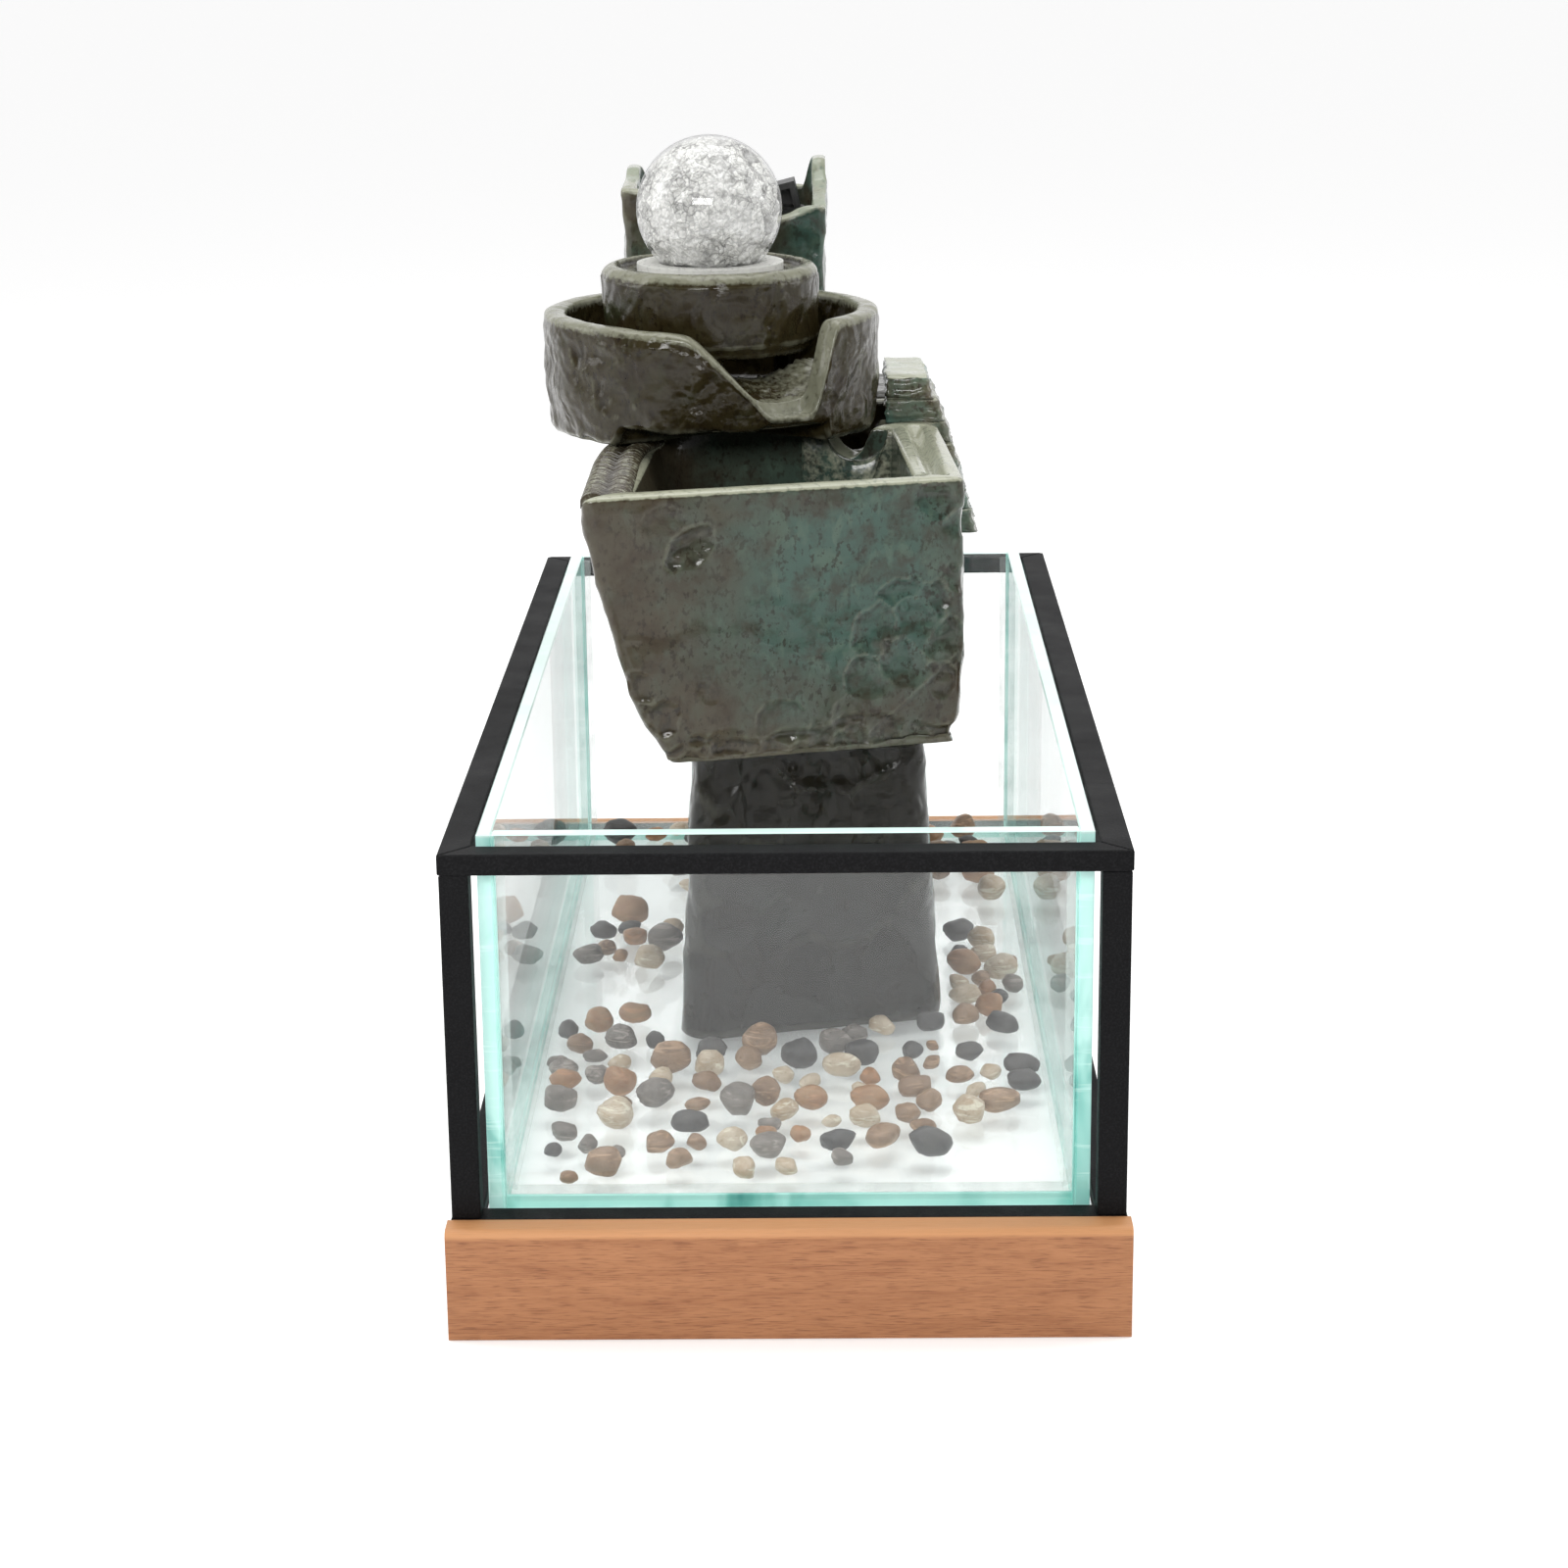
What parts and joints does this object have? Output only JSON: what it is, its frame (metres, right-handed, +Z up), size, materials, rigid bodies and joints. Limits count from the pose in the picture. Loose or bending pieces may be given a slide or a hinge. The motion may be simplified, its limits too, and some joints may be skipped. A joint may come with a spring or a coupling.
{
  "type": "tabletop water fountain",
  "caption": "Tiered glazed ceramic water fountain with a lit crackle glass ball, standing in a glass tank in a black metal frame on wooden feet.",
  "frame": {"origin": "on the table, under the middle of the frame", "axes": "+Z up, +Y along the tank from its front foot to its rear foot, +X to the right seen from the front"},
  "size_m": [0.222, 0.47, 0.3604],
  "materials": {
    "board": "matte white sheet",
    "circuit": "white solder mask",
    "crystal": "crackled clear glass",
    "glass": "polished, green cut edges",
    "glaze": "reactive green and brown gloss glaze",
    "hose": "smooth black",
    "lamp_case": "moulded white",
    "lamp_clear": "frosted clear resin",
    "led": "phosphor coated",
    "pin": "ground",
    "pump_black": "moulded black",
    "rotor": "moulded over magnet",
    "screw": "zinc plated",
    "seal": "matte",
    "silicone": "clear silicone",
    "steel": "matte powder coat, fine texture",
    "stone_charcoal": "water worn",
    "stone_cream": "water worn",
    "stone_grey": "water worn",
    "stone_rust": "water worn",
    "stone_tan": "water worn",
    "wood": "oiled, fine grain"
  },
  "bodies": {
    "frame": {"top_end_rails": "steel", "top_side_rails": "steel", "lower_end_rails": "steel", "lower_side_rails": "steel", "corner_posts": "steel", "board_tabs": "steel", "front_wooden_foot": "wood", "rear_wooden_foot": "wood", "foot_screws": "screw", "base_board": "board"},
    "tank": {"tank_left_pane": "glass", "tank_right_pane": "glass", "tank_front_pane": "glass", "tank_rear_pane": "glass", "tank_floor_pane": "glass", "tank_seal": "silicone", "plinth": "glaze", "rear_basin": "glaze", "pump_body": "pump_black", "pump_shaft": "pin", "suction_cups": "seal", "riser_tube": "hose", "pebbles_charcoal": "stone_charcoal", "pebbles_cream": "stone_cream", "pebbles_grey": "stone_grey", "pebbles_rust": "stone_rust", "pebbles_tan": "stone_tan"},
    "trough": {"front_trough": "glaze"},
    "bowl": {"bowl": "glaze"},
    "pedestal": {"pedestal": "glaze", "lamp_cup": "lamp_clear", "lamp_housing": "lamp_case", "lamp_board": "circuit", "lamp_leds": "led", "lamp_seal": "seal"},
    "ball": {"crystal_ball": "crystal"},
    "column": {"pump_column": "glaze"},
    "source_box": {"source_box": "glaze", "outlet_nozzle": "pump_black"},
    "rotor": {"impeller": "rotor"},
    "intake_cover": {"pump_cover": "pump_black"},
    "dial": {"flow_dial": "pump_black"}
  },
  "joints": [
    {"name": "tank_lift", "type": "slide", "parent": "frame", "child": "tank", "axis": [0, 0, 1], "range_m": [0, 0.14]},
    {"name": "trough_lift", "type": "slide", "parent": "tank", "child": "trough", "axis": [0, 0, 1], "range_m": [0, 0.05]},
    {"name": "bowl_lift", "type": "slide", "parent": "trough", "child": "bowl", "axis": [0, 0, 1], "range_m": [0, 0.05]},
    {"name": "pedestal_lift", "type": "slide", "parent": "bowl", "child": "pedestal", "axis": [0, 0, 1], "range_m": [0, 0.04]},
    {"name": "ball_spin", "type": "hinge", "parent": "pedestal", "child": "ball", "pos_m": [-0.03, 0.06, 0.3324], "axis": [0, 0, 1], "continuous": true},
    {"name": "column_lift", "type": "slide", "parent": "tank", "child": "column", "axis": [0, 0, 1], "range_m": [0, 0.06]},
    {"name": "source_box_lift", "type": "slide", "parent": "column", "child": "source_box", "axis": [0, 0, 1], "range_m": [0, 0.05]},
    {"name": "impeller_spin", "type": "hinge", "parent": "tank", "child": "rotor", "pos_m": [0.007, 0.1565, 0.066], "axis": [1, 0, 0], "continuous": true},
    {"name": "cover_pull", "type": "slide", "parent": "tank", "child": "intake_cover", "axis": [-1, 0, 0], "range_m": [0, 0.008]},
    {"name": "flow_dial_turn", "type": "hinge", "parent": "intake_cover", "child": "dial", "pos_m": [-0.016, 0.1565, 0.066], "axis": [1, 0, 0], "range_deg": [0, 90]}
  ]
}
